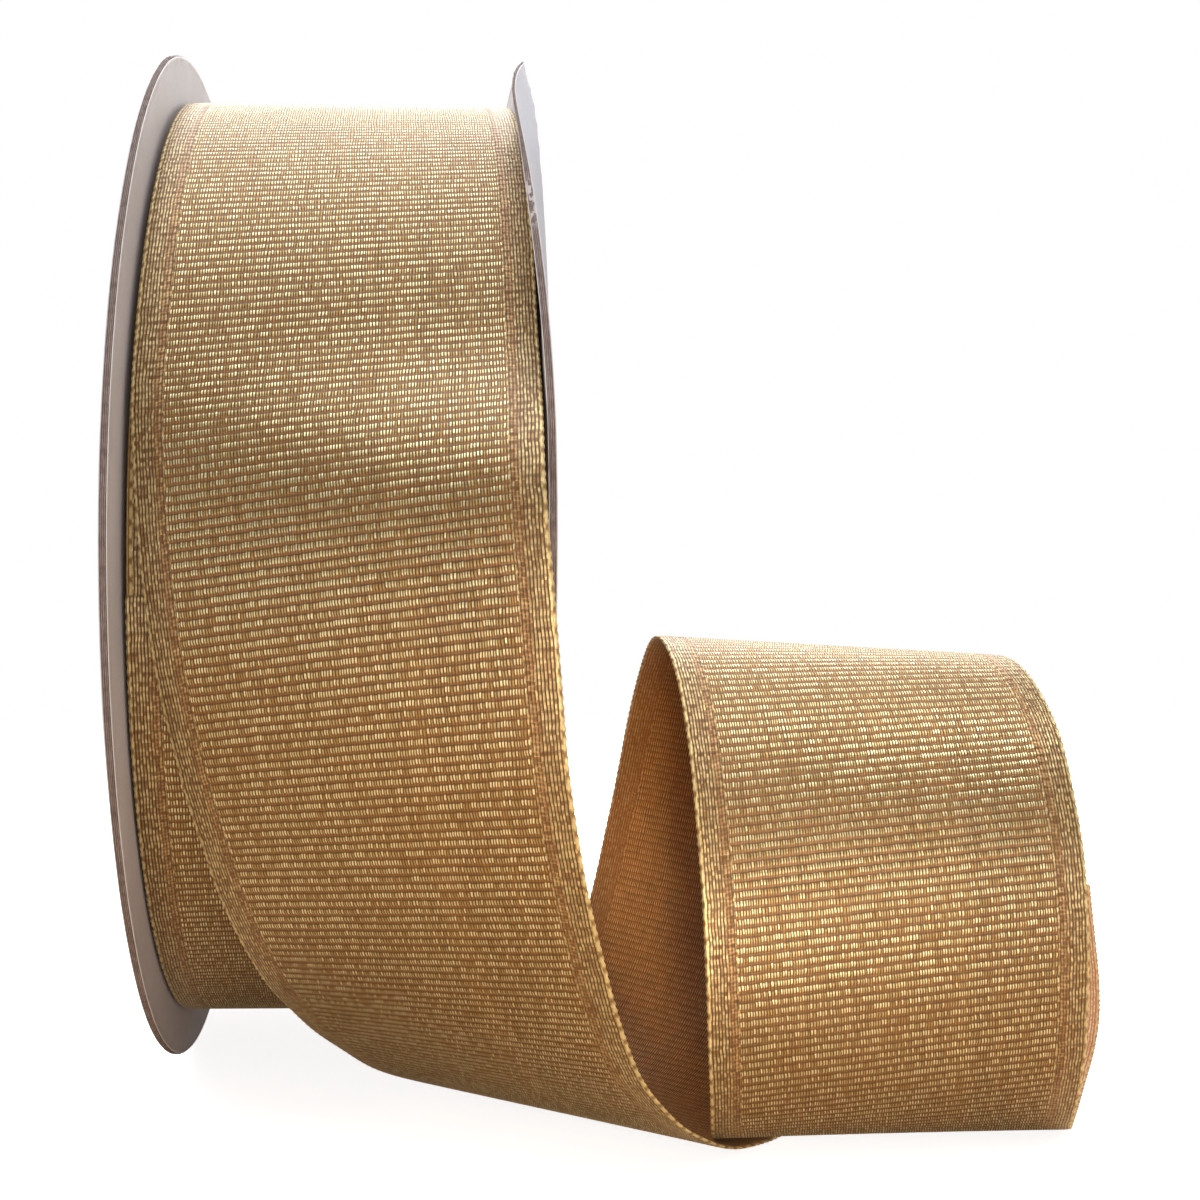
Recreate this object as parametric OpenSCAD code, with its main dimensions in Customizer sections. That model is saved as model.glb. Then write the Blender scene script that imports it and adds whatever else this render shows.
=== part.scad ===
// Ribbon spool: two thin paperboard discs glued to a wound paper core, with a
// woven ribbon wound between them. The loose end leaves the front of the roll,
// turns under and lies beside the spool in one standing loop.
// The spool's axis is X, +Z is up, and the origin is the middle of the bore.

/* [Flanges] */
// Diameter of both discs
flange_d = 125; // [124:0.5:126]
// Thickness of the grey board inside a disc
board_t = 0.6; // [0.5:0.05:0.6]
// Thickness of the paper glued to each face of the board
liner_t = 0.1; // [0.08:0.01:0.1]
// How far the paper stops short of the board's rim
liner_inset = 0.1; // [0.05:0.05:0.5]

/* [Core] */
// Diameter of the hole right through the spool
bore_d = 25.4; // [20:0.2:26]
// Wall of the inner wound ply of the core tube
inner_ply_t = 1.5; // [1:0.1:1.5]
// Wall of the outer wound ply of the core tube
outer_ply_t = 1.5; // [1:0.1:1.5]
// Thickness of the tape that holds the ribbon's inner end
tape_t = 0.15; // [0.1:0.05:0.2]
// Width of that tape along the core
tape_w = 19; // [12:1:30]
// Arc that the tape covers, in degrees
tape_arc = 70; // [40:5:120]

/* [Ribbon] */
// Width of the ribbon
ribbon_w = 38; // [37:0.5:38]
// Thickness of the ribbon
ribbon_t = 0.4; // [0.3:0.05:0.45]
// Outer radius of the packed turns
roll_r = 56.5; // [50:0.1:56.5]
// Space left at each end between the ribbon's edge and a disc
side_gap = 0.4; // [0.3:0.05:0.5]
// Running space between the packed turns and the loose outer turn
turn_gap = 0.5; // [0.4:0.05:0.6]
// Height at which the loose end leaves the roll, as degrees above the front
leave_deg = 20; // [20:1:22]
// How much of a turn the loose outer turn still covers, in degrees
wrap_arc = 295; // [180:5:295]
// Rings per stretch of the loose end
ring_steps = 6; // [3:1:8]

/* [Hidden] */

flange_r = flange_d / 2;
bore_r = bore_d / 2;
face_x = ribbon_w / 2 + side_gap;         // inner face of each disc
core_mid_r = bore_r + inner_ply_t;
core_r = core_mid_r + outer_ply_t;
roll_in_r = core_r + tape_t + 0.15;
wrap_in_r = roll_r + turn_gap;
wrap_mid_r = wrap_in_r + ribbon_t / 2;
floor_z = -flange_r;

// The loose end as stations along its middle line:
// [[x, y, z], turn of the width about Z, tilt of the width]
function on_roll(a) = [0, -wrap_mid_r * cos(a), wrap_mid_r * sin(a)];
stations = [
    [on_roll(leave_deg + 16),  0,  0],    // shapes the start only
    [on_roll(leave_deg),       0,  0],    // leaves the outer turn
    [[ 0.2, -61.4,   6.8],   -14,  1],
    [[ 1.4, -62.6,  -7.6],   -17,  2],
    [[ 3.6, -59.8, -23.2],   -23,  3],
    [[ 7.8, -54,   -39],     -27,  4],
    [[14,   -45,   -51.8],   -32,  1],
    [[24.6, -34.4, -61],     -33,  0],    // lies on the floor
    [[36.6, -23.4, -61.2],   -36,  0],
    [[46,   -14.4, -51.6],   -32, -4],
    [[51.6, -12.2, -35],     -20, -6],
    [[54,   -18.4, -18.2],    -9, -6],
    [[54.2, -30.8,  -9.8],    -3, -3],    // top of the loop
    [[54.4, -44,   -15.8],    -2, -1],
    [[54.6, -51.6, -32.4],     0,  2],
    [[55.6, -50.4, -51.2],     2,  3],
    [[58.6, -40.6, -61.2],     0,  1],    // lies on the floor again
    [[65.8, -26.2, -60.8],   -11, -1],
    [[75.4, -10.6, -54.4],   -21, -2],
    [[82.8,   6.6, -43.2],   -25,  0]     // cut end
];

function spline(a, b, c, d, t) =
    0.5 * (2 * b + (c - a) * t + (2 * a - 5 * b + 4 * c - d) * t * t
           + (3 * b - a - 3 * c + d) * t * t * t);
// Past the last station the run goes straight on
function past(list) = 2 * list[len(list) - 1] - list[len(list) - 2];

pos = [for (s = stations) s[0]];
ang = [for (s = stations) [s[1], s[2]]];
pos_x = concat(pos, [past(pos)]);
ang_x = concat(ang, [past(ang)]);
last = len(pos) - 1;
fine = [for (i = [1 : last - 1]) for (k = [0 : ring_steps - 1])
        [i, k / ring_steps]];
mid = concat([for (f = fine) let (i = f[0])
        spline(pos_x[i-1], pos_x[i], pos_x[i+1], pos_x[i+2], f[1])],
        [pos[last]]);
turn = concat([for (f = fine) let (i = f[0])
        spline(ang_x[i-1], ang_x[i], ang_x[i+1], ang_x[i+2], f[1])],
        [ang[last]]);
rings = len(mid);

// Width direction, travel direction and the direction through the thickness
function across(i) = [cos(turn[i][0]) * cos(turn[i][1]),
                      sin(turn[i][0]) * cos(turn[i][1]),
                      sin(turn[i][1])];
function unit(v) = v / norm(v);
// side is -1 for the edge nearer the start of the width and 1 for the other
function edge(i, side) = mid[i] + side * across(i) * ribbon_w / 2;
function travel(i, side) = i == 0 ? [0, -sin(leave_deg), -cos(leave_deg)]
    : unit(edge(min(i + 1, rings - 1), side) - edge(max(i - 1, 0), side));
function through(i, side) =
    unit(cross(travel(i, side), across(i))) * ribbon_t / 2;
function above_floor(p) = [p[0], p[1], max(p[2], floor_z)];
function ring(i) = let (l = edge(i, -1), r = edge(i, 1),
                        nl = through(i, -1), nr = through(i, 1))
    [for (q = [l - nl, r - nr, r + nr, l + nl]) above_floor(q)];

module along_x() { rotate([0, 90, 0]) children(); }

// A flat ring between two planes across X
module x_ring(x0, x1, r_out, r_in) {
    translate([x0, 0, 0]) along_x() difference() {
        cylinder(h = x1 - x0, r = r_out, $fn = 180);
        translate([0, 0, -1]) cylinder(h = x1 - x0 + 2, r = r_in, $fn = 96);
    }
}

// side is -1 for the left disc and 1 for the right one
module disc_layer(side, from, to, r) {
    a = side * (face_x + from);
    b = side * (face_x + to);
    x_ring(min(a, b), max(a, b), r, bore_r);
}

module flange_board(side) {
    color([0.50, 0.46, 0.45])
        disc_layer(side, liner_t, liner_t + board_t, flange_r);
}

module inner_liner(side) {
    color([0.86, 0.85, 0.88])
        disc_layer(side, 0, liner_t, flange_r - liner_inset);
}

module outer_liner(side) {
    color([0.84, 0.84, 0.90])
        disc_layer(side, liner_t + board_t, board_t + 2 * liner_t,
                   flange_r - liner_inset);
}

module core_inner_ply() {
    color([0.62, 0.50, 0.38])
        x_ring(-face_x, face_x, core_mid_r, bore_r);
}

module core_outer_ply() {
    color([0.68, 0.56, 0.43])
        x_ring(-face_x, face_x, core_r, core_mid_r);
}

module start_tape() {
    color([0.88, 0.84, 0.72])
        along_x() rotate([0, 0, 30]) rotate_extrude(angle = tape_arc, $fn = 180)
            translate([core_r, -tape_w / 2]) square([tape_t, tape_w]);
}

module ribbon_roll() {
    color([0.72, 0.55, 0.33])
        x_ring(-ribbon_w / 2, ribbon_w / 2, roll_r, roll_in_r);
}

module outer_wrap() {
    color([0.80, 0.63, 0.38])
        along_x() rotate([0, 0, -90 - leave_deg - wrap_arc])
            rotate_extrude(angle = wrap_arc, $fn = 180)
                translate([wrap_in_r, -ribbon_w / 2])
                    square([ribbon_t, ribbon_w]);
}

module ribbon_tail() {
    pts = [for (i = [0 : rings - 1]) for (q = ring(i)) q];
    sides = [for (i = [0 : rings - 2]) for (j = [0 : 3])
        let (a = 4 * i + j, b = 4 * i + (j + 1) % 4, c = a + 4, d = b + 4)
        each [[a, d, b], [a, c, d]]];
    e = 4 * (rings - 1);
    caps = [[0, 1, 2], [0, 2, 3], [e, e + 2, e + 1], [e, e + 3, e + 2]];
    color([0.80, 0.62, 0.36]) polyhedron(points = pts, faces = concat(sides, caps));
}

flange_board(-1);  // flange_board_left
flange_board(1);  // flange_board_right
inner_liner(-1);  // inner_liner_left
inner_liner(1);  // inner_liner_right
outer_liner(-1);  // outer_liner_left
outer_liner(1);  // outer_liner_right
core_inner_ply();
core_outer_ply();
start_tape();
ribbon_roll();
outer_wrap();
ribbon_tail();
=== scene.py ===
"""Looks of the ribbon spool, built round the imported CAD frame.

Lengths in the tables below are in millimetres, in the CAD frame: the spool's
axis is X, +Z is up and the origin is the middle of the bore. Objects are made
in metres.
"""
import math

import bpy
import numpy as np
from mathutils import Matrix, Vector


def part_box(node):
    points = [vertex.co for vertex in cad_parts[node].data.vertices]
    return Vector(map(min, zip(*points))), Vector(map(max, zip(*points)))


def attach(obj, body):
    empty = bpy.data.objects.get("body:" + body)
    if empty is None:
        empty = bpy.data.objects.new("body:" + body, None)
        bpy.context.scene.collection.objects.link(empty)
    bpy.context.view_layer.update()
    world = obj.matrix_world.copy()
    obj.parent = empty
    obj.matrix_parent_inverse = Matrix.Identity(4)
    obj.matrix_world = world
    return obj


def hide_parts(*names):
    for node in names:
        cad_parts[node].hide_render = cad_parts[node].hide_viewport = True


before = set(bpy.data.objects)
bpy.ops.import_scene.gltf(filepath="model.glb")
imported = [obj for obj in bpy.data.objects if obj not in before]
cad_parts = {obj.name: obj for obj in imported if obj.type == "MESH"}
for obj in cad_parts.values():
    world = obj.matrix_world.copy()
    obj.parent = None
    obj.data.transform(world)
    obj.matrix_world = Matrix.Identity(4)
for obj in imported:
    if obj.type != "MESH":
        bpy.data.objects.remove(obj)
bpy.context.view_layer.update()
MM = 0.001


def box_mm(node):
    lo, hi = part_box(node)
    return np.array(lo) / MM, np.array(hi) / MM


# ---------------------------------------------------------------- sizes
BOARD_L = box_mm("flange_board_left")
BOARD_R = box_mm("flange_board_right")
ROLL = box_mm("ribbon_roll")
WRAP = box_mm("outer_wrap")
CORE = box_mm("core_inner_ply")
FLANGE_R = round(float(BOARD_L[1][2]), 2)
FLOOR_Z = -FLANGE_R
FACE_X = round(float(box_mm("inner_liner_right")[0][0]), 2)
BOARD_X = (round(float(BOARD_R[0][0]), 2), round(float(BOARD_R[1][0]), 2))
OUT_X = round(float(box_mm("outer_liner_right")[1][0]), 2)
LINER_R = round(float(box_mm("inner_liner_right")[1][2]), 2)
ROLL_R = round(float(ROLL[1][2]), 2)
WRAP_OUT_R = round(float(WRAP[1][2]), 2)
HALF_W = round(float(ROLL[1][0]), 2)
CORE_X = round(float(CORE[1][0]), 2)
RIBBON_T = 0.4
WRAP_MID_R = WRAP_OUT_R - RIBBON_T / 2
BORE_R = 12.7
RIB = 0.88  # pitch of the ribs along the ribbon
THREAD = 0.27  # pitch of the lengthwise threads
LEAVE_DEG, WRAP_END_DEG = 20.0, 315.0
OFF_DISC = 0.3  # how far the ribbon stands to the right at the front of the roll
HIDE_DEG = 40.0  # the visual's inner end runs this much further, under the loose end
FLOOR_GLOW = (0.02, 0.84)  # what the floor sheds on the part, and what is seen


# ---------------------------------------------------------------- camera
def make_camera():
    cam = bpy.data.cameras.new("camera")
    ob = bpy.data.objects.new("camera", cam)
    bpy.context.scene.collection.objects.link(ob)
    yaw, pitch, roll = (math.radians(a) for a in (1.92, -0.05, 0.29))
    fwd = Vector((math.sin(yaw) * math.cos(pitch),
                  math.cos(yaw) * math.cos(pitch), math.sin(pitch)))
    right = Vector((math.cos(yaw), -math.sin(yaw), 0))
    up = right.cross(fwd)
    r = math.cos(roll) * right + math.sin(roll) * up
    u = -math.sin(roll) * right + math.cos(roll) * up
    m = Matrix((r, u, -fwd)).transposed().to_4x4()
    m.translation = Vector((5.8, -182.4, -5.0)) * MM
    ob.matrix_world = m
    cam.sensor_width = 36
    cam.lens = 40.83
    cam.shift_x, cam.shift_y = 0.1333, 0.0
    cam.clip_start, cam.clip_end = 0.005, 50
    bpy.context.scene.camera = ob


# ---------------------------------------------------------------- node helpers
def lin(r, g, b):
    """sRGB 0-255 to linear RGBA."""
    def f(c):
        c = c / 255
        return c / 12.92 if c <= 0.04045 else ((c + 0.055) / 1.055) ** 2.4
    return (f(r), f(g), f(b), 1.0)


class Tree:
    """A material with short calls for its nodes. A value is a number or a socket."""

    def __init__(self, name):
        self.mat = bpy.data.materials.new(name)
        self.mat.use_nodes = True
        self.nt = self.mat.node_tree
        self.nt.nodes.clear()
        self.out = self.nt.nodes.new("ShaderNodeOutputMaterial")
        self.bsdf = self.nt.nodes.new("ShaderNodeBsdfPrincipled")
        self.nt.links.new(self.bsdf.outputs[0], self.out.inputs["Surface"])

    def put(self, socket, value):
        if isinstance(value, bpy.types.NodeSocket):
            self.nt.links.new(value, socket)
        elif value is not None:
            socket.default_value = value

    def new(self, kind, **props):
        n = self.nt.nodes.new(kind)
        for k, v in props.items():
            setattr(n, k, v)
        return n

    def m(self, op, a, b=None, c=None, clamp=False):
        n = self.new("ShaderNodeMath", operation=op, use_clamp=clamp)
        for i, x in enumerate((a, b, c)):
            self.put(n.inputs[i], x)
        return n.outputs[0]

    def add(self, a, b):
        return self.m("ADD", a, b)

    def sub(self, a, b):
        return self.m("SUBTRACT", a, b)

    def mul(self, *xs):
        r = xs[0]
        for x in xs[1:]:
            r = self.m("MULTIPLY", r, x)
        return r

    def fma(self, a, k, c):
        return self.m("MULTIPLY_ADD", a, k, c)

    def ramp(self, x, a, b, lo=0.0, hi=1.0):
        """lo before a, hi after b, and smooth between."""
        n = self.new("ShaderNodeMapRange", interpolation_type="SMOOTHSTEP")
        for i, y in enumerate((x, a, b, lo, hi)):
            self.put(n.inputs[i], y)
        return n.outputs[0]

    def pulse(self, x, a, b, c, d):
        """0 to 1 from a to b, and back to 0 from c to d."""
        return self.mul(self.ramp(x, a, b), self.ramp(x, c, d, 1.0, 0.0))

    def mix(self, f, a, b, blend="MIX"):
        n = self.new("ShaderNodeMix", data_type="RGBA", blend_type=blend)
        self.put(n.inputs[0], f)
        self.put(n.inputs[6], a)
        self.put(n.inputs[7], b)
        return n.outputs[2]

    def vec(self, x, y=0.0, z=0.0):
        n = self.new("ShaderNodeCombineXYZ")
        for i, v in enumerate((x, y, z)):
            self.put(n.inputs[i], v)
        return n.outputs[0]

    def xyz(self, vector):
        n = self.new("ShaderNodeSeparateXYZ")
        self.put(n.inputs[0], vector)
        return n.outputs

    def noise(self, vector, scale, detail=2.0, rough=0.5):
        n = self.new("ShaderNodeTexNoise")
        self.put(n.inputs["Vector"], vector)
        n.inputs["Scale"].default_value = scale
        n.inputs["Detail"].default_value = detail
        n.inputs["Roughness"].default_value = rough
        return n.outputs[0]

    def white(self, x, y=0.0, z=0.0):
        n = self.new("ShaderNodeTexWhiteNoise", noise_dimensions="3D")
        self.put(n.inputs["Vector"], self.vec(x, y, z))
        return n.outputs[0]

    def uv(self, name):
        n = self.new("ShaderNodeUVMap", uv_map=name)
        return self.xyz(n.outputs[0])

    def object_mm(self):
        """The point in the piece's own frame, in millimetres."""
        t = self.new("ShaderNodeTexCoord")
        n = self.new("ShaderNodeVectorMath", operation="SCALE")
        self.nt.links.new(t.outputs["Object"], n.inputs[0])
        n.inputs["Scale"].default_value = 1000.0
        return n.outputs[0]

    def bump(self, height, metres, strength=1.0, under=None):
        n = self.new("ShaderNodeBump")
        n.inputs["Strength"].default_value = strength
        n.inputs["Distance"].default_value = metres
        self.put(n.inputs["Height"], height)
        if under is not None:
            self.put(n.inputs["Normal"], under)
        return n.outputs[0]

    def finish(self, **sockets):
        for k, v in sockets.items():
            self.put(self.bsdf.inputs[k.replace("_", " ")], v)
        return self.mat


# ---------------------------------------------------------------- materials
def ribbon_material(name, dash_lo, dash_hi, copper, olive_and_groove_shade, strength, metal, rough, back=0.0):
    """The woven ribbon. UV "weave" holds (across, along) in millimetres, and a
    rib's crest is at the middle of each period. strength is how much the
    metallic dashes stand out from the ground threads, and back how far the
    selvedge takes the ground's colour."""
    t = Tree(name)
    u, v, _ = t.uv("weave")
    where = t.vec(u, v)
    sway = t.fma(t.noise(t.vec(t.mul(u, 0.12), t.mul(v, 0.3)), 1.0, 2.0), 0.34, -0.17)
    rib = t.add(t.m("DIVIDE", v, RIB), sway)
    row, p = t.m("FLOOR", rib), t.m("FRACT", rib)
    drift = t.fma(t.noise(t.vec(t.mul(u, 0.7), t.mul(v, 0.22)), 1.0, 1.0), 1.6, 0.0)
    thread = t.fma(u, 1 / THREAD, drift)
    col, q = t.m("FLOOR", thread), t.m("FRACT", thread)
    round_ = t.m("SINE", t.mul(q, math.pi))
    body = t.ramp(round_, 0.40, 0.92)
    cell = t.white(col, row, 0.5)
    tint = t.white(col, 3.5, 7.5)
    patch = t.noise(where, 0.55, 3.0, 0.6)
    fine = t.noise(where, 3.1, 2.0, 0.6)

    # each rib: metallic dashes on its crest, ground threads below, and a dark olive line above them that is painted
    # shade in the groove between ribs
    jog = t.fma(cell, 0.16, -0.08)
    dash = t.pulse(t.add(p, jog), 0.15, 0.30, 0.66, 0.84)
    glint = t.mul(dash, body, t.ramp(t.add(cell, t.fma(patch, 0.3, -0.15)), 0.0, 0.5, 0.70, 1.0))
    # painted shade: this mask darkens the groove between ribs to olive
    seam = t.pulse(p, -0.02, 0.09, 0.15, 0.26)
    ground = t.mix(t.ramp(patch, 0.3, 0.7, 0.0, 0.6), copper, lin(140, 102, 50))
    ground = t.mix(t.mul(seam, 0.72), ground, olive_and_groove_shade)
    # painted shade: the gaps between the lengthwise threads are darkened almost to black
    ground = t.mix(t.mul(t.fma(body, -1.0, 1.0), t.fma(dash, 0.30, 0.65)), ground, lin(40, 31, 11))
    ground = t.mix(t.mul(tint, 0.10), ground, lin(200, 144, 76))
    gold = t.mix(cell, dash_lo, dash_hi)
    woven = t.mix(t.mul(glint, strength), ground, gold)

    # selvedge: a chained column, lengthwise threads, then a pale outer thread
    edge = t.sub(HALF_W, t.m("ABSOLUTE", u))
    zig = t.m("PINGPONG", t.m("DIVIDE", v, RIB), 1.0)
    in_selvedge = t.ramp(t.add(edge, t.mul(zig, 0.16)), 3.12, 3.32, 1.0, 0.0)
    lane = t.add(t.m("DIVIDE", edge, 0.31), t.fma(t.noise(t.vec(t.mul(u, 0.5), t.mul(v, 0.5)), 1.0, 1.0), 0.8, 0.0))
    lane_q = t.m("FRACT", lane)
    lane_body = t.ramp(t.m("SINE", t.mul(lane_q, math.pi)), 0.3, 0.9)
    lane_cell = t.white(t.m("FLOOR", lane), t.m("FLOOR", t.m("DIVIDE", v, RIB * 0.5)), 2.5)
    lane_gold = t.mix(lane_cell, lin(146, 106, 58), lin(224, 200, 142))
    cloth = t.mix(lane_body, lin(70, 46, 20), lane_gold)
    cross = t.ramp(t.m("SINE", t.add(t.mul(v, 2 * math.pi / RIB), t.mul(lane_cell, 1.5))), -0.9, -0.2, 0.45, 0.0)
    cloth = t.mix(cross, cloth, lin(84, 56, 26))
    chain = t.pulse(t.add(edge, t.fma(zig, 0.3, -0.15)), 2.1, 2.4, 2.8, 3.15)
    knots = t.ramp(t.m("SINE", t.add(t.mul(v, 4 * math.pi / RIB), t.mul(edge, 3.0))), -0.5, 0.8)
    stitch = t.mix(t.mul(lane_cell, knots), lin(110, 70, 30), t.mix(cell, lin(186, 112, 58), lin(214, 168, 100)))
    cloth = t.mix(t.mul(chain, t.fma(patch, 0.7, 0.2)), cloth, stitch)
    rim = t.ramp(edge, 0.24, 0.38, 1.0, 0.0)
    cloth = t.mix(t.mul(rim, 0.85), cloth, t.mix(t.ramp(zig, 0.1, 0.6), lin(150, 112, 56), lin(236, 214, 152)))
    cloth = t.mix(back, cloth, t.mix(t.fma(lane_body, 0.4, 0.12), olive_and_groove_shade, copper))
    colour = t.mix(in_selvedge, woven, cloth)
    colour = t.mix(t.ramp(fine, 0.3, 0.75, 0.16, 0.0), colour, lin(90, 60, 30))

    lit = t.mix(in_selvedge, t.vec(glint, glint, glint), t.vec(t.mul(lane_body, 0.45), t.mul(lane_body, 0.45), t.mul(lane_body, 0.45)))
    lit = t.xyz(lit)[0]
    height = t.add(t.mul(body, t.fma(dash, 0.6, 0.4)), t.mul(fine, 0.3))
    height = t.mix(in_selvedge, t.vec(height, height, height), t.vec(lane_body, lane_body, lane_body))
    height = t.xyz(height)[0]
    t.bsdf.inputs["Specular IOR Level"].default_value = 0.5
    t.bsdf.inputs["Sheen Weight"].default_value = 0.25
    t.bsdf.inputs["Sheen Roughness"].default_value = 0.4
    t.bsdf.inputs["Sheen Tint"].default_value = lin(255, 226, 178)
    t.bsdf.inputs["Coat Weight"].default_value = 0.15
    t.bsdf.inputs["Coat Roughness"].default_value = 0.38
    return t.finish(
        Base_Color=colour,
        Metallic=t.fma(lit, metal, 0.25),
        Roughness=t.fma(lit, -0.18, rough),
        Normal=t.bump(height, 0.00003, 0.9),
    )


def paper_material(name, colour, tone):
    """Smooth paper glued over the board: fine fibres, faint mottling, rim wear."""
    t = Tree(name)
    at = t.object_mm()
    x, y, z = t.xyz(at)
    r = t.m("SQRT", t.add(t.mul(y, y), t.mul(z, z)))
    mottle = t.noise(at, 0.09, 4.0, 0.6)
    fibre = t.noise(t.vec(t.mul(x, 3.0), t.mul(y, 1.2), t.mul(z, 4.0)), 1.6, 4.0, 0.7)
    grain = t.noise(at, 6.0, 3.0, 0.65)
    speck = t.ramp(t.noise(at, 1.7, 3.0, 0.7), 0.69, 0.76)
    base = t.mix(t.ramp(mottle, 0.3, 0.7), colour, tone)
    base = t.mix(t.ramp(fibre, 0.35, 0.8, 0.0, 0.16), base, lin(150, 140, 138))
    base = t.mix(t.mul(speck, 0.25), base, lin(134, 118, 108))
    # rubbed rim: a dull ring just inside, and a bright line where the paper ends
    scuff = t.noise(t.vec(t.mul(x, 0.5), t.mul(y, 0.25), t.mul(z, 0.25)), 1.0, 3.0, 0.7)
    ring = t.mul(t.ramp(r, 61.2, 62.1), t.ramp(scuff, 0.42, 0.62))
    base = t.mix(t.mul(ring, 0.32), base, lin(168, 152, 142))
    line = t.ramp(r, LINER_R - 0.16, LINER_R - 0.08)
    base = t.mix(t.mul(line, 0.55), base, lin(244, 240, 240))
    # finger soil towards the core, and the faint ring where the tube is glued
    tube = t.pulse(r, 12.9, 13.6, 15.0, 16.2)
    base = t.mix(t.mul(tube, t.ramp(mottle, 0.25, 0.6), 0.30), base, lin(150, 138, 126))
    soil = t.mul(t.ramp(r, 30.0, 14.0), t.ramp(scuff, 0.40, 0.66))
    base = t.mix(t.mul(soil, 0.14), base, lin(140, 128, 116))
    # hairline scratches where it has slid on a shelf
    turn = t.m("ARCTAN2", z, y)
    streak = t.ramp(t.noise(t.vec(t.mul(r, 3.2), t.mul(turn, 2.2)), 1.0, 2.0, 0.5), 0.70, 0.74)
    base = t.mix(t.mul(streak, t.ramp(scuff, 0.45, 0.60), 0.30), base, lin(228, 226, 230))
    height = t.add(t.add(t.mul(fibre, 0.5), t.mul(grain, 0.5)), t.mul(tube, 2.2))
    t.bsdf.inputs["Specular IOR Level"].default_value = 0.42
    return t.finish(
        Base_Color=base,
        Roughness=t.fma(fibre, 0.2, 0.48),
        Normal=t.bump(height, 0.00003, 0.6),
    )


def board_material(name):
    """Grey board: packed fibres, in thin strata where it is cut. UV "layer"
    holds (along the rim, through the thickness) in millimetres."""
    t = Tree(name)
    a, x, _ = t.uv("layer")
    at = t.object_mm()
    rag = t.noise(t.vec(t.mul(a, 0.35), t.mul(x, 2.0)), 1.0, 3.0, 0.7)
    strata = t.m("SINE", t.add(t.mul(x, 2 * math.pi / 0.17), t.mul(rag, 7.0)))
    fibre = t.noise(t.vec(t.mul(a, 0.9), t.mul(x, 14.0)), 1.0, 4.0, 0.7)
    clump = t.noise(at, 1.1, 3.0, 0.6)
    base = t.mix(t.ramp(strata, -0.6, 0.8), lin(104, 88, 84), lin(156, 142, 138))
    base = t.mix(t.ramp(fibre, 0.55, 0.78, 0.0, 0.6), base, lin(196, 186, 180))
    base = t.mix(t.ramp(clump, 0.3, 0.6, 0.5, 0.0), base, lin(88, 70, 64))
    ox, oy, oz = t.xyz(at)
    turn = t.m("MULTIPLY", t.m("ARCTAN2", t.mul(oy, -1.0), oz), 180 / math.pi)
    torn = t.mul(t.pulse(turn, 54.5, 56.5, 60.0, 62.0), t.ramp(ox, 0.0, 1.0),
                 t.ramp(t.noise(t.vec(t.mul(ox, 2.2), t.mul(oy, 1.0), t.mul(oz, 1.0)), 1.0, 2.0, 0.6), 0.48, 0.56))
    base = t.mix(t.mul(torn, 0.8), base, lin(210, 204, 206))
    t.bsdf.inputs["Specular IOR Level"].default_value = 0.25
    return t.finish(
        Base_Color=base,
        Roughness=t.fma(fibre, 0.12, 0.82),
        Normal=t.bump(t.add(t.mul(fibre, 0.7), t.mul(strata, 0.2)), 0.00006, 0.8),
    )


def kraft_material(name, colour, dark):
    """Wound kraft paper, with its helical seam and the fibres along the winding."""
    t = Tree(name)
    at = t.object_mm()
    x, y, z = t.xyz(at)
    turn = t.m("DIVIDE", t.m("ARCTAN2", z, y), 2 * math.pi)
    wind = t.add(t.m("DIVIDE", x, 24.0), turn)
    f = t.m("FRACT", wind)
    seam = t.pulse(f, 0.0, 0.012, 0.022, 0.04)
    fibre = t.noise(t.vec(t.mul(x, 1.6), t.mul(y, 0.5), t.mul(z, 0.5)), 1.4, 4.0, 0.7)
    fleck = t.ramp(t.noise(at, 2.2, 3.0, 0.65), 0.62, 0.74)
    base = t.mix(t.ramp(fibre, 0.3, 0.75), colour, dark)
    base = t.mix(t.mul(fleck, 0.35), base, lin(110, 84, 58))
    base = t.mix(t.mul(seam, 0.75), base, lin(84, 62, 42))
    t.bsdf.inputs["Specular IOR Level"].default_value = 0.3
    return t.finish(
        Base_Color=base,
        Roughness=t.fma(fibre, 0.15, 0.72),
        Normal=t.bump(t.sub(t.mul(fibre, 0.5), seam), 0.00008, 0.7),
    )


def edges_material(name):
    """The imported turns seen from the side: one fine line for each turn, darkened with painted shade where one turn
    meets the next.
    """
    t = Tree(name)
    at = t.object_mm()
    x, y, z = t.xyz(at)
    r = t.m("SQRT", t.add(t.mul(y, y), t.mul(z, z)))
    wob = t.noise(t.vec(t.mul(y, 0.2), t.mul(z, 0.2)), 1.0, 2.0)
    lay = t.add(t.m("DIVIDE", r, 0.4), t.mul(wob, 1.2))
    line = t.m("SINE", t.mul(t.m("FRACT", lay), math.pi))
    each = t.white(t.m("FLOOR", lay), 1.5, 2.5)
    thread = t.noise(at, 3.0, 3.0, 0.6)
    # painted shade: the colour goes dark brown where the turns meet
    base = t.mix(line, lin(80, 52, 26), t.mix(each, lin(166, 118, 66), lin(206, 164, 100)))
    base = t.mix(t.ramp(thread, 0.5, 0.75, 0.0, 0.5), base, lin(236, 214, 160))
    return t.finish(
        Base_Color=base,
        Metallic=t.fma(line, 0.3, 0.15),
        Roughness=t.fma(thread, 0.2, 0.42),
        Normal=t.bump(line, 0.0001, 0.7),
    )


def tape_material(name):
    t = Tree(name)
    at = t.object_mm()
    crepe = t.noise(t.vec(t.mul(t.xyz(at)[0], 3.0), t.mul(t.xyz(at)[1], 0.6), t.mul(t.xyz(at)[2], 0.6)), 1.3, 3.0, 0.6)
    base = t.mix(t.ramp(crepe, 0.3, 0.7), lin(226, 214, 182), lin(206, 190, 152))
    return t.finish(Base_Color=base, Roughness=t.fma(crepe, 0.2, 0.55), Normal=t.bump(crepe, 0.00008, 0.7))


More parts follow.
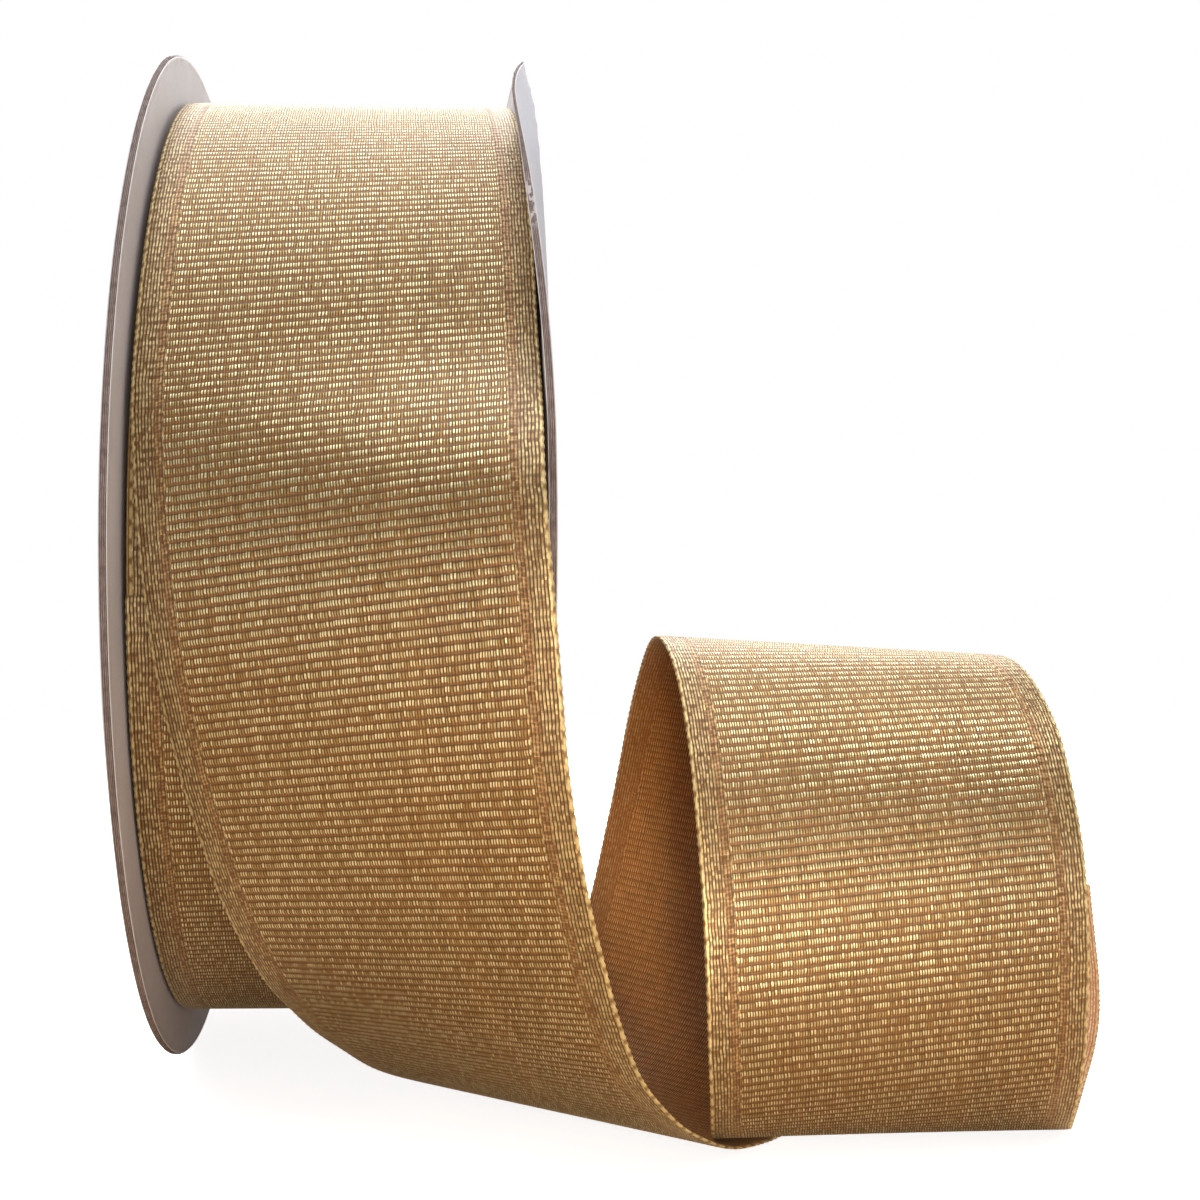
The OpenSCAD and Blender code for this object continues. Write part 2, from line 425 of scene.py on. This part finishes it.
def floor_material(name):
    """Pale matt floor. Away from the part it turns evenly pale, so no edge shows."""
    t = Tree(name)
    at = t.object_mm()
    x, y, _ = t.xyz(at)
    soft = t.noise(at, 0.02, 2.0)
    base = t.mix(soft, (0.84, 0.84, 0.85, 1), (0.87, 0.87, 0.87, 1))
    dx, dy = t.sub(x, 40.0), t.add(y, 20.0)
    far = t.ramp(t.m("SQRT", t.add(t.mul(dx, dx), t.mul(dy, dy))), 120.0, 520.0)
    t.bsdf.inputs["Specular IOR Level"].default_value = 0.2
    seen = t.new("ShaderNodeLightPath").outputs["Is Camera Ray"]
    base = t.mix(seen, (0.66, 0.48, 0.32, 1), base)  # a warm, dimmer bounce
    t.finish(Base_Color=base, Roughness=0.8, Emission_Color=(1, 1, 1, 1),
             Emission_Strength=t.fma(seen, FLOOR_GLOW[1] - FLOOR_GLOW[0], FLOOR_GLOW[0]))
    glow = t.new("ShaderNodeEmission")
    both = t.new("ShaderNodeMixShader")
    t.put(both.inputs[0], far)
    t.nt.links.new(t.bsdf.outputs[0], both.inputs[1])
    t.nt.links.new(glow.outputs[0], both.inputs[2])
    t.nt.links.new(both.outputs[0], t.out.inputs["Surface"])
    return t.mat


# ---------------------------------------------------------------- meshes
def make_mesh(name, points_mm, quads, mats, slot=None, uv=None, uv_name="weave"):
    """points in mm, quads as an (n, 4) array, slot the material of each quad and
    uv a (n, 4, 2) array."""
    me = bpy.data.meshes.new(name)
    pts = np.asarray(points_mm, float) * MM
    quads = np.asarray(quads, int)
    me.vertices.add(len(pts))
    me.vertices.foreach_set("co", pts.astype(np.float32).ravel())
    me.loops.add(quads.size)
    me.loops.foreach_set("vertex_index", quads.ravel().astype(np.int32))
    me.polygons.add(len(quads))
    me.polygons.foreach_set("loop_start", (np.arange(len(quads)) * 4).astype(np.int32))
    me.polygons.foreach_set("use_smooth", np.ones(len(quads), bool))
    for m in mats:
        me.materials.append(m)
    if slot is not None:
        me.polygons.foreach_set("material_index", np.asarray(slot, np.int32))
    if uv is not None:
        layer = me.uv_layers.new(name=uv_name)
        layer.data.foreach_set("uv", np.asarray(uv, np.float32).ravel())
    me.update(calc_edges=True)
    me.validate()
    ob = bpy.data.objects.new(name, me)
    bpy.context.scene.collection.objects.link(ob)
    return ob


def grid_quads(n, m, closed=False, start=0):
    """Quads of an n by m grid of points, point (i, j) being i * m + j. With
    closed, row n joins row 0. Also returns each quad's (i, j)."""
    i, j = np.meshgrid(np.arange(n if closed else n - 1), np.arange(m - 1), indexing="ij")
    i, j = i.ravel(), j.ravel()
    k = (i + 1) % n
    q = np.stack([i * m + j, k * m + j, k * m + j + 1, i * m + j + 1], 1) + start
    return q, i, j


def smooth_rows(a, sigma):
    """Gaussian smoothing down the rows of a, with straight ends."""
    reach = int(4 * sigma)
    w = np.exp(-0.5 * (np.arange(-reach, reach + 1) / sigma) ** 2)
    w /= w.sum()
    k = np.arange(reach, 0, -1)[:, None]
    head = a[0] - (a[1] - a[0]) * k
    tail = a[-1] + (a[-1] - a[-2]) * k[::-1]
    b = np.vstack([head, a, tail])
    return np.stack([np.convolve(b[:, c], w, "valid") for c in range(a.shape[1])], 1)


# The loose end's stations, as in part.scad: position, yaw and tilt of the width
STATIONS = [
    (0.2, -61.4, 6.8, -14, 1), (1.4, -62.6, -7.6, -17, 2), (3.6, -59.8, -23.2, -23, 3),
    (7.8, -54, -39, -27, 4), (14, -45, -51.8, -32, 1), (24.6, -34.4, -61, -33, 0),
    (36.6, -23.4, -61.2, -36, 0), (46, -14.4, -51.6, -32, -4), (51.6, -12.2, -35, -20, -6),
    (54, -18.4, -18.2, -9, -6), (54.2, -30.8, -9.8, -3, -3), (54.4, -44, -15.8, -2, -1),
    (54.6, -51.6, -32.4, 0, 2), (55.6, -50.4, -51.2, 2, 3), (58.6, -40.6, -61.2, 0, 1),
    (65.8, -26.2, -60.8, -11, -1), (75.4, -10.6, -54.4, -21, -2), (82.8, 6.6, -43.2, -25, 0),
]


def on_roll(deg):
    a = math.radians(deg)
    return (OFF_DISC, -WRAP_MID_R * math.cos(a), WRAP_MID_R * math.sin(a), 0, 0)


def ribbon_line():
    """The outer turn and the loose end as one line: its length along, positions
    and width directions, in 0.25 mm steps."""
    s = np.array([on_roll(LEAVE_DEG + 16), on_roll(LEAVE_DEG), *STATIONS], float)
    s = np.vstack([s, 2 * s[-1] - s[-2]])
    rows = []
    for i in range(1, len(s) - 2):
        a, b, c, d = s[i - 1], s[i], s[i + 1], s[i + 2]
        t = np.linspace(0, 1, 60, endpoint=False)[:, None]
        rows.append(0.5 * (2 * b + (c - a) * t + (2 * a - 5 * b + 4 * c - d) * t ** 2
                           + (3 * b - a - 3 * c + d) * t ** 3))
    rows.append(s[-2:-1])
    tail = np.vstack(rows)
    turn = np.arange(WRAP_END_DEG + HIDE_DEG, LEAVE_DEG, -0.5)
    arc = np.radians(WRAP_END_DEG + HIDE_DEG - turn) * WRAP_MID_R
    e = np.clip(arc / 70, 0, 1)
    e = e * e * (3 - 2 * e)
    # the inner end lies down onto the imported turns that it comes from
    rad = (ROLL_R + 0.06) * (1 - e) + WRAP_MID_R * e
    a = np.radians(turn)
    aside = OFF_DISC * np.interp(turn, [LEAVE_DEG, 60, 100], [1, 1, 0])
    wrap = np.stack([aside, -rad * np.cos(a), rad * np.sin(a), 0 * a, 0 * a], 1)
    line = np.vstack([wrap, tail])
    along = np.concatenate([[0], np.cumsum(np.linalg.norm(np.diff(line[:, :3], axis=0), axis=1))])
    fine = np.arange(0, along[-1], 0.25)
    line = np.stack([np.interp(fine, along, line[:, c]) for c in range(5)], 1)
    line = smooth_rows(line, 12)
    yaw, tilt = np.radians(line[:, 3]), np.radians(line[:, 4])
    width = np.stack([np.cos(yaw) * np.cos(tilt), np.sin(yaw) * np.cos(tilt), np.sin(tilt)], 1)
    return fine, line[:, :3], width


def at(x, xs, table):
    return np.stack([np.interp(x, xs, table[:, c]) for c in range(table.shape[1])], -1)


COLUMNS = np.array([-19, -18.75, -18.2, -16.6, -15.8, -12.4, -8.2, -4.1, 0,
                    4.1, 8.2, 12.4, 15.8, 16.6, 18.2, 18.75, 19]) * HALF_W / 19
EDGE_THIN = np.interp(np.abs(COLUMNS) / HALF_W * 19, [0, 17.4, 18.2, 18.75, 19], [1, 1, 0.96, 0.8, 0.42])
RIB_SHARE = np.interp(np.abs(COLUMNS) / HALF_W * 19, [0, 15.8, 16.6, 19], [1, 1, 0.45, 0.4])


def ribbon_sheet(mats):
    xs, mid, width = ribbon_line()
    length = xs[-1]
    leave = math.radians(WRAP_END_DEG + HIDE_DEG - LEAVE_DEG) * WRAP_MID_R
    # how far the ribs run askew of the width, as the weave is pulled
    skew_at = [0, leave - 90, leave - 30, *(leave + k for k in (0, 15, 34, 43, 53, 80, 110, 170, 185, 206, 218)), length]
    skew = [-3, -3, -4.5, -7.2, -6.7, -5.5, -4.4, -2.4, -2, -3, -4, -5.5, -6, -4.5, -4.5]
    per_rib = 4
    v = np.arange(0, length + 1e-6, RIB / per_rib)
    nu = len(COLUMNS)
    U, V = np.meshgrid(COLUMNS, v)
    slope = np.tan(np.radians(np.interp(v, skew_at, skew)))[:, None]
    ends = np.minimum(1, np.minimum(V, length - V) / 12)  # square at both ends
    at_v = np.clip(V + slope * U * ends, 0, length)
    step = 0.5

    def surface(u, s):
        return at(s, xs, mid) + u[..., None] * at(s, xs, width)

    base = surface(U, at_v)
    along = surface(U, np.clip(at_v + step, 0, length)) - surface(U, np.clip(at_v - step, 0, length))
    across = at(at_v, xs, width)
    normal = np.cross(along, across)
    normal /= np.linalg.norm(normal, axis=2, keepdims=True)
    # rests on the floor without going through it
    low = FLOOR_Z + RIBBON_T / 2 + 0.02
    gap = base[..., 2] - low
    base[..., 2] = low + 0.2 * np.logaddexp(0, gap / 0.2)
    # faint puckers beside the selvedge, and edge loops that stand out at each rib
    pucker = 0.05 * np.sin(V * 2 * math.pi / 11.3 + 1.7 * np.sin(V / 23)) * (np.abs(U) / HALF_W) ** 6
    free = np.clip((V - leave - 6) / 20, 0, 1)
    base += normal * (pucker * (0.3 + 0.7 * free))[..., None]
    crest = 0.5 - 0.5 * np.cos(2 * math.pi * V / RIB)
    loop = np.where(np.abs(U) > HALF_W - 0.01, np.sign(U) * (0.10 * crest - 0.10), 0)
    base += across * loop[..., None]
    thick = RIBBON_T * np.interp(v, [0, 30], [0.1, 1])[:, None] * EDGE_THIN[None, :]
    ribs = RIB_SHARE[None, :] * np.interp(v, [0, 30], [0.12, 1])[:, None]
    outer = base + normal * (thick / 2 - 0.10 * ribs * (1 - crest))[..., None]
    inner = base - normal * (thick / 2 - 0.05 * ribs * (1 - crest))[..., None]
    outer[..., 2] = np.maximum(outer[..., 2], FLOOR_Z + 0.005)
    inner[..., 2] = np.maximum(inner[..., 2], FLOOR_Z + 0.005)
    n = len(v)
    pts = np.vstack([outer.reshape(-1, 3), inner.reshape(-1, 3)])
    q, i, j = grid_quads(n, nu)
    face_out = q[:, ::-1]
    face_in = q + n * nu
    uv_q = np.stack([np.stack([COLUMNS[j], v[i]], 1), np.stack([COLUMNS[j], v[i + 1]], 1),
                     np.stack([COLUMNS[j + 1], v[i + 1]], 1), np.stack([COLUMNS[j + 1], v[i]], 1)], 1)
    k = np.arange(n - 1)
    off = n * nu
    left = np.stack([k * nu, (k + 1) * nu, (k + 1) * nu + off, k * nu + off], 1)
    r = nu - 1
    right = np.stack([k * nu + r, k * nu + r + off, (k + 1) * nu + r + off, (k + 1) * nu + r], 1)
    w = np.arange(nu - 1)
    head = np.stack([w, w + off, w + 1 + off, w + 1], 1)[:, ::-1]
    z = (n - 1) * nu
    tail = np.stack([z + w, z + w + off, z + w + 1 + off, z + w + 1], 1)

    def edge_uv(c, first):
        a = np.stack([np.full(n - 1, c), v[:-1]], 1)
        b = np.stack([np.full(n - 1, c), v[1:]], 1)
        return np.stack([a, b, b, a] if first else [a, a, b, b], 1)

    def end_uv(vv, flip):
        a = np.stack([COLUMNS[:-1], np.full(nu - 1, vv)], 1)
        b = np.stack([COLUMNS[1:], np.full(nu - 1, vv)], 1)
        s = np.stack([a, a, b, b], 1)
        return s[:, ::-1] if flip else s

    quads = np.vstack([face_out, face_in, left, right, head, tail])
    uv = np.vstack([uv_q[:, ::-1], uv_q, edge_uv(COLUMNS[0], True), edge_uv(COLUMNS[-1], False),
                    end_uv(0.0, True), end_uv(v[-1], False)])
    slot = np.concatenate([np.zeros(len(face_out)), np.ones(len(face_in)),
                           np.zeros(len(quads) - len(face_out) - len(face_in))])
    return make_mesh("ribbon_loose_length", pts, quads, mats, slot, uv), length


def flip_if_inward(ob):
    """Turns the faces of a closed mesh outwards."""
    import bmesh
    bm = bmesh.new()
    bm.from_mesh(ob.data)
    bmesh.ops.recalc_face_normals(bm, faces=bm.faces)
    bm.to_mesh(ob.data)
    bm.free()
    return ob


def roll_piece(mats):
    """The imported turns: the outermost one with its ribs, and the turns under it
    with each turn's edge standing a little in or out."""
    rng = np.random.default_rng(7)
    ribs = int(round(2 * math.pi * ROLL_R / RIB))
    per_rib = 4
    n = ribs * per_rib
    cols = np.array([-19, -18.7, -16.6, -15.8, -11, -5.5, 0, 5.5, 11, 15.8, 16.6, 18.7, 19]) * HALF_W / 19
    thin = np.interp(np.abs(cols), [0, 17.4, 18.7, 19], [1, 1, 0.8, 0.4])
    share = np.interp(np.abs(cols), [0, 15.8, 16.6, 19], [1, 1, 0.45, 0.4])
    k = np.arange(n)
    ang = (k + 1) / n * 2 * math.pi  # in step with the loose length's inner end
    A, C = np.meshgrid(ang, cols, indexing="ij")
    A = A + math.tan(math.radians(-3)) * C / ROLL_R
    crest = 0.5 - 0.5 * np.cos(2 * math.pi * k / per_rib)[:, None]
    top = ROLL_R - 0.2 + 0.2 * thin[None, :] - 0.10 * share[None, :] * (1 - crest)
    low = np.full_like(top, ROLL_R - 0.2) - 0.18 * thin[None, :]

    # degrees above the front, where the turn stands off the left disc
    up = (180 - np.degrees(A) + 180) % 360 - 180
    aside = 0.35 * np.interp(up, [-16, -6, 60, 100], [0, 1, 1, 0])

    def ring(r):
        return np.stack([C + aside, r * np.cos(A), r * np.sin(A)], 2).reshape(-1, 3)

    m = len(cols)
    pts = [ring(top), ring(low)]
    q, i, j = grid_quads(n, m, closed=True)
    v0, v1 = i * RIB / per_rib, (i + 1) * RIB / per_rib
    uvq = np.stack([np.stack([cols[j], v0], 1), np.stack([cols[j], v1], 1),
                    np.stack([cols[j + 1], v1], 1), np.stack([cols[j + 1], v0], 1)], 1)
    off = n * m
    kk = (k + 1) % n
    side = []
    for c in (0, m - 1):
        side.append(np.stack([k * m + c, kk * m + c, kk * m + c + off, k * m + c + off], 1))
    vv0, vv1 = k * RIB / per_rib, (k + 1) * RIB / per_rib
    suv = [np.stack([np.stack([np.full(n, cols[c]), a], 1) for a in (vv0, vv1, vv1, vv0)], 1) for c in (0, m - 1)]
    quads = [q, q[:, ::-1] + off, *side]
    uvs = [uvq, uvq[:, ::-1], *suv]
    slots = [np.zeros(len(q)), np.ones(len(q)), np.zeros(n), np.zeros(n)]
    # the turns below
    start = 2 * off
    seg = 130
    inner = round(float(box_inner_roll()), 2)
    turns = np.arange(inner, ROLL_R - 0.42, 0.8)
    prof = []
    for t_i, r in enumerate(turns):
        out = HALF_W - 0.10 - 0.16 * rng.random()
        prof += [(r, out - 0.12), (r + 0.12, out), (r + 0.66, out), (min(r + 0.8, ROLL_R - 0.42), out - 0.12)]
    prof = np.array(prof)
    prof = np.vstack([prof, (prof * [1, -1])[::-1]])
    a2 = np.arange(seg) / seg * 2 * math.pi
    wave = 0.05 * np.sin(3 * a2 + 0.5)[:, None] * np.sin(prof[:, 0] * 0.9)[None, :]
    R = np.broadcast_to(prof[:, 0], (seg, len(prof)))
    X = prof[:, 1][None, :] + wave * np.sign(prof[:, 1])[None, :]
    body = np.stack([X, R * np.cos(a2)[:, None], R * np.sin(a2)[:, None]], 2).reshape(-1, 3)
    mm_ = len(prof)
    i2, j2 = np.meshgrid(np.arange(seg), np.arange(mm_), indexing="ij")
    i2, j2 = i2.ravel(), j2.ravel()
    i3, j3 = (i2 + 1) % seg, (j2 + 1) % mm_
    q2 = np.stack([i2 * mm_ + j2, i3 * mm_ + j2, i3 * mm_ + j3, i2 * mm_ + j3], 1) + start
    pts.append(body)
    quads.append(q2)
    uvs.append(np.zeros((len(q2), 4, 2)))
    slots.append(np.full(len(q2), 2))
    ob = make_mesh("ribbon_packed_turns", np.vstack(pts), np.vstack(quads), mats,
                   np.concatenate(slots), np.vstack(uvs))
    return flip_if_inward(ob)


def box_inner_roll():
    """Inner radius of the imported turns, from the CAD node's own points."""
    co = np.array([p.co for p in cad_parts["ribbon_roll"].data.vertices], float) / MM
    return np.hypot(co[:, 1], co[:, 2]).min()


def wavy(r, a, side):
    """How far a disc's paper and board lean from flat, in mm towards +X."""
    f = np.clip((r - 20) / 42, 0, 1) ** 1.5
    if side < 0:
        return f * (0.10 * np.sin(2 * a + 0.6) + 0.05 * np.sin(5 * a + 2.0))
    # towards +X; a runs from +Y through +Z, so the front top is at 90 to 180 degrees
    phi = np.degrees((a - math.pi / 2 + math.pi) % (2 * math.pi) - math.pi)
    lean = round_table(phi, LEAN, 10)
    rim = round_table(phi, RIM_X, 4) - (FACE_X + OUT_X) / 2 - lean
    crease = round_table(phi, CREASE, 8)
    bend = np.clip((r - crease) / (FLANGE_R - crease), 0, 1) ** 1.25
    return np.clip((r - 16) / 38, 0, 1) ** 1.4 * lean + bend * rim


# The right disc is bent: (degrees from the top towards the front, value in mm)
LEAN = [(-180, 0), (-130, 0.1), (-60, 0.6), (-5, 1.1), (20, 1.0), (50, 0.85), (60, 0.6), (68, 0.4),
        (80, 0.18), (92, 0.05), (120, 0), (180, 0)]
RIM_X = [(-180, 19.8), (-130, 19.9), (-60, 20.4), (-5, 20.95), (20, 20.8), (24, 20.3), (30, 19.1), (34, 18.4),
         (38, 17.95), (43, 17.95), (50, 18.2), (56, 18.5), (62, 18.85), (71, 19.4), (79, 19.75), (90, 19.85),
         (120, 19.8), (180, 19.8)]
CREASE = [(-180, 61), (10, 61), (22, 60.5), (30, 59.8), (38, 57.5), (48, 55.2), (66, 55.0), (80, 57.0),
          (92, 60.5), (120, 61), (180, 61)]
CRUSH = [(-180, 1), (-60, 1), (-25, 0.5), (10, 0.38), (36, 0.42), (46, 0.5), (56, 0.95), (64, 1), (180, 1)]


def round_table(phi, table, sigma):
    """The table's value at each angle, smoothed over sigma half degrees."""
    fine = np.linspace(-180, 180, 721)
    d = np.interp(fine, *np.array(table, float).T)
    k = 3 * int(sigma)
    w = np.exp(-0.5 * (np.arange(-k, k + 1) / sigma) ** 2)
    d = np.convolve(np.concatenate([d[-k - 1:-1], d, d[1:k + 1]]), w / w.sum(), "valid")
    return np.interp(phi, fine, d)


def disc_piece(name, side, x_in, x_out, radius, mat, kind):
    """One layer of a disc, between two distances from the middle of the spool."""
    rng = np.random.default_rng(11 if side < 0 else 12)
    seg = 540
    h = x_out - x_in
    mid = (x_in + x_out) / 2
    rr = [BORE_R, BORE_R + 0.15, 13.4, 15.7, 17, 22, 30, 38, 45, 50, 53, 54.8, 56, 57, 58, 59, 60, 60.8, 61.5, 62.0]
    if kind == "board":
        lay = [(r, 0.5) for r in rr] + [(radius - 0.12, 0.5), (radius - 0.02, 0.42), (radius - 0.05, 0.25),
               (radius, 0.12), (radius - 0.04, 0.0), (radius, -0.14), (radius - 0.05, -0.26),
               (radius - 0.02, -0.42), (radius - 0.12, -0.5)] + [(r, -0.5) for r in rr[::-1]]
    else:
        lay = [(r, 0.5) for r in rr] + [(radius - 0.06, 0.5), (radius, 0.2), (radius, -0.2), (radius - 0.06, -0.5)] \
            + [(r, -0.5) for r in rr[::-1]]
    lay = np.array(lay)
    a = np.arange(seg) / seg * 2 * math.pi
    m = len(lay)
    rim = np.clip((lay[:, 0] - (radius - 0.3)) / 0.3, 0, 1)
    rag = rng.normal(0, 0.022 if kind == "board" else 0.012, (seg, m))
    slow = 0.03 * np.sin(7 * a + 1.3) + 0.02 * np.sin(19 * a)
    R = lay[:, 0][None, :] + rim[None, :] * (rag + slow[:, None] - 0.03)
    A = np.broadcast_to(a[:, None], R.shape)
    lean = wavy(R, A, side)
    X = side * (mid + lay[:, 1][None, :] * h) + lean
    if side > 0:  # pressed thinner where the rim is creased
        phi = np.degrees((A - math.pi / 2 + math.pi) % (2 * math.pi) - math.pi)
        squeeze = 1 - (1 - round_table(phi, CRUSH, 5)) * np.clip((R - 58.5) / 2.5, 0, 1)
        centre = (FACE_X + OUT_X) / 2
        X = lean + centre + (X - lean - centre) * squeeze
    pts = np.stack([X, R * np.cos(A), R * np.sin(A)], 2).reshape(-1, 3)
    i, j = np.meshgrid(np.arange(seg), np.arange(m), indexing="ij")
    i, j = i.ravel(), j.ravel()
    i2, j2 = (i + 1) % seg, (j + 1) % m
    q = np.stack([i * m + j, i2 * m + j, i2 * m + j2, i * m + j2], 1)
    arc = np.arange(seg + 1) / seg * 2 * math.pi * radius
    lx = lay[:, 1] * h
    uv = np.stack([np.stack([arc[i], lx[j]], 1), np.stack([arc[i + 1], lx[j]], 1),
                   np.stack([arc[i + 1], lx[j2]], 1), np.stack([arc[i], lx[j2]], 1)], 1)
    ob = make_mesh(name, pts, q, [mat], None, uv, "layer")
    return flip_if_inward(ob)


def core_piece(name, r_in, r_out, mat):
    """A wound ply of the core tube, with the seam of its winding pressed in."""
    seg, nx = 240, 60
    a = np.arange(seg) / seg * 2 * math.pi
    x = np.linspace(-CORE_X, CORE_X, nx)
    ease = np.clip((CORE_X - np.abs(x)) / 0.35, 0, 1)
    lay = [(xx, r_in + 0.12 * (1 - e), 1) for xx, e in zip(x, ease)]
    lay += [(xx, r_out - 0.10 * (1 - e), 0) for xx, e in zip(x[::-1], ease[::-1])]
    lay = np.array(lay)
    m = len(lay)
    A = np.broadcast_to(a[:, None], (seg, m))
    f = (lay[:, 0][None, :] / 24.0 + A / (2 * math.pi)) % 1.0
    groove = 0.10 * np.exp(-((f - 0.02) / 0.016) ** 2) * lay[:, 2][None, :]
    R = lay[:, 1][None, :] + groove
    pts = np.stack([np.broadcast_to(lay[:, 0][None, :], R.shape), R * np.cos(A), R * np.sin(A)], 2).reshape(-1, 3)
    i, j = np.meshgrid(np.arange(seg), np.arange(m), indexing="ij")
    i, j = i.ravel(), j.ravel()
    i2, j2 = (i + 1) % seg, (j + 1) % m
    q = np.stack([i * m + j, i2 * m + j, i2 * m + j2, i * m + j2], 1)
    return flip_if_inward(make_mesh(name, pts, q, [mat]))


# ---------------------------------------------------------------- build
make_camera()

gold = ribbon_material("ribbon_face", lin(178, 146, 76), lin(250, 238, 186), lin(152, 98, 44),
                       lin(60, 46, 16), 1.0, 0.50, 0.46)
gold_back = ribbon_material("ribbon_back", lin(226, 158, 86), lin(242, 186, 114), lin(206, 132, 64),
                            lin(148, 86, 36), 0.6, 0.0, 0.6, 0.6)
turn_edges = edges_material("turn_edges")
paper_in = paper_material("paper_inside", lin(209, 204, 207), lin(202, 196, 198))
# the outer liners get a darker copy of the same white paper: painted shade
shaded_paper_out = paper_material("paper_outside", lin(166, 167, 178), lin(160, 161, 172))
board = board_material("grey_board")
kraft = kraft_material("kraft_inner", lin(184, 148, 106), lin(158, 122, 84))
kraft_outer = kraft_material("kraft_outer", lin(192, 158, 116), lin(166, 132, 94))
tape = tape_material("crepe_tape")

sheet, sheet_length = ribbon_sheet([gold, gold_back])
# Where the loose end slips past the right disc it is lowered by under a
# millimetre, so the disc's lean clears it all the way round.
at = np.empty(len(sheet.data.vertices) * 3)
sheet.data.vertices.foreach_get("co", at)
at = at.reshape(-1, 3) * 1000
near = np.exp(-0.5 * (((at[:, 0] - 21.2) / 4.0) ** 2 + ((at[:, 1] + 13.0) / 5.0) ** 2))
near *= np.clip(np.hypot(at[:, 1], at[:, 2]) - 60.5, 0, 1) * (at[:, 2] < 0)
at[:, 2] -= 0.72 * near * np.clip((at[:, 2] + 62.5) / 0.9, 0, 1)
sheet.data.vertices.foreach_set("co", (at / 1000).ravel())
sheet.data.update()
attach(sheet, "loose_ribbon")
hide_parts("outer_wrap", "ribbon_tail")

roll = roll_piece([gold, gold_back, turn_edges])
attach(roll, "spool")
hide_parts("ribbon_roll")

for side, word in ((-1, "left"), (1, "right")):
    for kind, x0, x1, rad, mat, slot in (
        ("inner_liner", FACE_X, BOARD_X[0], LINER_R, paper_in, "liner"),
        ("flange_board", BOARD_X[0], BOARD_X[1], FLANGE_R, board, "board"),
        ("outer_liner", BOARD_X[1], OUT_X, LINER_R, shaded_paper_out, "liner"),
    ):
        node = f"{kind}_{word}"
        piece = disc_piece(f"{word}_{kind}", side, x0, x1, rad, mat,
                           "board" if kind == "flange_board" else "liner")
        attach(piece, "spool")
        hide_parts(node)

ply = core_piece("core_tube_inner_ply", BORE_R, BORE_R + 1.5, kraft)
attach(ply, "spool")
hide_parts("core_inner_ply")


def repaint(node, mat):
    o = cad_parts[node]
    o.data.materials.clear()
    o.data.materials.append(mat)


repaint("core_outer_ply", kraft_outer)
repaint("start_tape", tape)

# ---------------------------------------------------------------- stage
g = np.array([[-4, -4], [4, -4], [4, 4], [-4, 4]], float) * 1000
floor = make_mesh("floor", np.hstack([g, np.full((4, 1), FLOOR_Z - 0.01)]), [[0, 1, 2, 3]],
                  [floor_material("floor")])


def area_light(name, at_mm, look_mm, size, power, colour=(1, 1, 1)):
    d = bpy.data.lights.new(name, "AREA")
    d.shape = "RECTANGLE"
    d.size, d.size_y = size
    d.energy = power
    d.color = colour
    o = bpy.data.objects.new(name, d)
    bpy.context.scene.collection.objects.link(o)
    o.location = Vector(at_mm) * MM
    o.rotation_mode = "QUATERNION"
    o.rotation_quaternion = (Vector(look_mm) - Vector(at_mm)).to_track_quat("-Z", "Y")
    return o


area_light("key", (-40, -260, 560), (30, 0, 0), (0.70, 0.50), 1.4)
area_light("overhead", (0, 60, 600), (20, 0, 0), (0.60, 0.40), 1.6)
area_light("back_top", (20, 430, 470), (20, 0, 10), (0.80, 0.45), 3.7)
area_light("front_fill", (150, -420, 5), (40, 0, -20), (0.45, 0.10), 0.40)
area_light("left_fill", (-330, -560, 60), (20, 0, -10), (0.4, 0.4), 0.25)
area_light("loop_top", (190, -150, 230), (82, -32, -30), (0.12, 0.12), 0.015).data.spread = math.radians(34)
area_light("loop_inside", (10, -330, -20), (42, -20, -32), (0.06, 0.06), 0.0085,
           (1.0, 0.80, 0.55)).data.spread = math.radians(14)
# a low card in front, out of the camera's sight, for the under side of the loose end
area_light("front_low", (20, -420, -42), (20, -60, -34), (0.50, 0.04), 0.09, (1.0, 0.94, 0.84))

world = bpy.data.worlds.new("studio")
bpy.context.scene.world = world
world.use_nodes = True
wn = world.node_tree
wn.nodes.clear()
w_out = wn.nodes.new("ShaderNodeOutputWorld")
coord = wn.nodes.new("ShaderNodeTexCoord")
split = wn.nodes.new("ShaderNodeSeparateXYZ")
rise = wn.nodes.new("ShaderNodeMapRange")
rise.interpolation_type = "SMOOTHSTEP"
for k_, x_ in enumerate((0, 0.0, 1.0, 0.09, 0.65)):
    if k_:
        rise.inputs[k_].default_value = x_
light = wn.nodes.new("ShaderNodeBackground")
plain = wn.nodes.new("ShaderNodeBackground")
plain.inputs["Color"].default_value = (1, 1, 1, 1)
plain.inputs["Strength"].default_value = 1.0
path = wn.nodes.new("ShaderNodeLightPath")
pick = wn.nodes.new("ShaderNodeMixShader")
wn.links.new(coord.outputs["Generated"], split.inputs[0])
wn.links.new(split.outputs[2], rise.inputs[0])
back = wn.nodes.new("ShaderNodeMapRange")  # a pale wall behind the part
back.interpolation_type = "SMOOTHSTEP"
for k_, x_ in enumerate((0, 0.0, 0.9, 0.0, 1.3)):
    if k_:
        back.inputs[k_].default_value = x_
both_ = wn.nodes.new("ShaderNodeMath")
wn.links.new(split.outputs[1], back.inputs[0])
wn.links.new(rise.outputs[0], both_.inputs[0])
wn.links.new(back.outputs[0], both_.inputs[1])
wn.links.new(both_.outputs[0], light.inputs["Strength"])
wn.links.new(path.outputs["Is Camera Ray"], pick.inputs[0])
wn.links.new(light.outputs[0], pick.inputs[1])
wn.links.new(plain.outputs[0], pick.inputs[2])
wn.links.new(pick.outputs[0], w_out.inputs["Surface"])

bpy.context.scene.view_settings.view_transform = "Standard"
